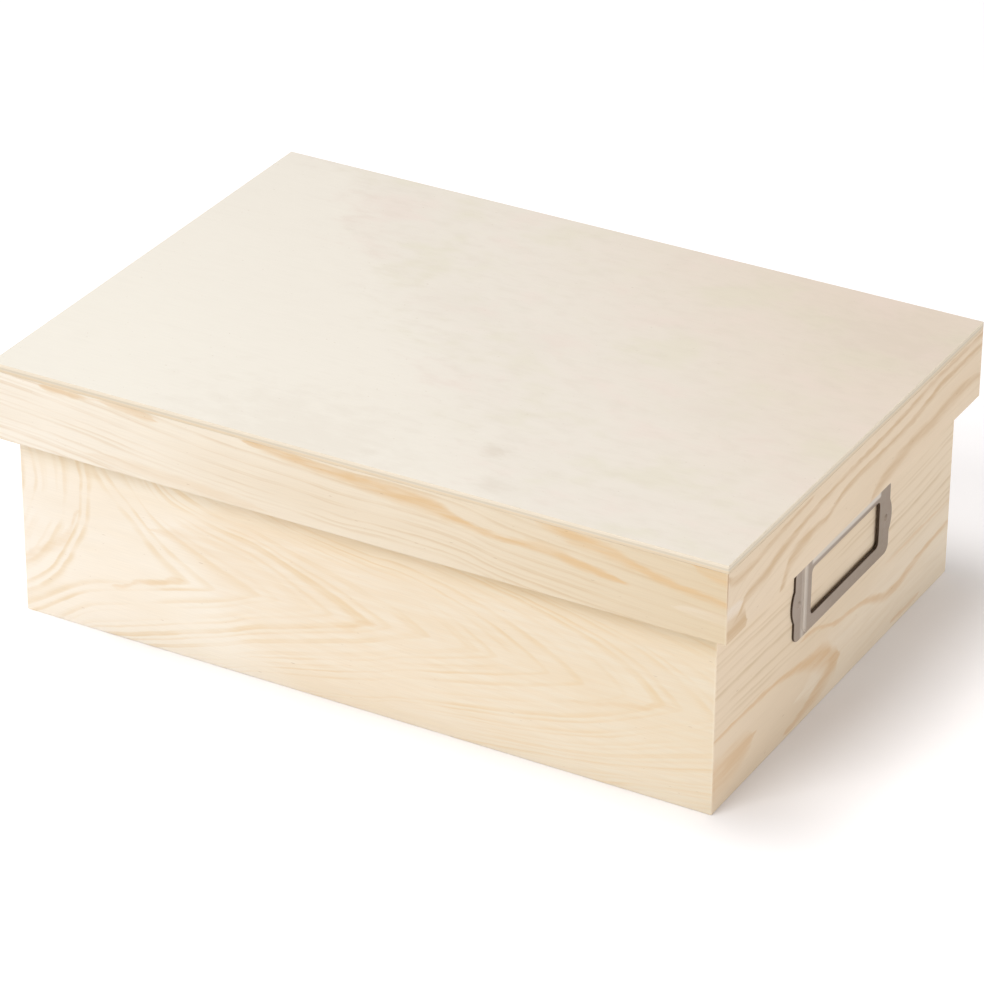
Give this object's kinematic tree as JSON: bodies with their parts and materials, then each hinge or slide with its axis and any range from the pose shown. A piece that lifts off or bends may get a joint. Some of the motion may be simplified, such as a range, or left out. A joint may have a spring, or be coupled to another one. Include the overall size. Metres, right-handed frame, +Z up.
{
  "type": "photo box",
  "caption": "Rectangular pine box with mitred walls, a plywood bottom, a slip-over lift-off lid and a metal label frame pinned to one end, for keeping photos and papers.",
  "frame": {"origin": "on the surface that the box stands on, under its middle", "axes": "+X along the box towards the end with the label frame, +Y from front to back, +Z up"},
  "size_m": [0.36, 0.252, 0.1262],
  "materials": {
    "pine": "sanded, unvarnished",
    "plywood": "sanded, unvarnished",
    "holder_steel": "satin pewter grey",
    "pin_steel": "satin"
  },
  "bodies": {
    "box": {"front_wall": "pine", "back_wall": "pine", "left_end": "pine", "right_end": "pine", "bottom_panel": "plywood", "label_holder": "holder_steel", "label_holder_pins": "pin_steel"},
    "lid": {"lid_front_rail": "pine", "lid_back_rail": "pine", "lid_left_rail": "pine", "lid_right_rail": "pine", "lid_top_panel": "plywood"}
  },
  "joints": [
    {"name": "lid_lift", "type": "slide", "parent": "box", "child": "lid", "axis": [0, 0, 1], "range_m": [0, 0.12]}
  ]
}
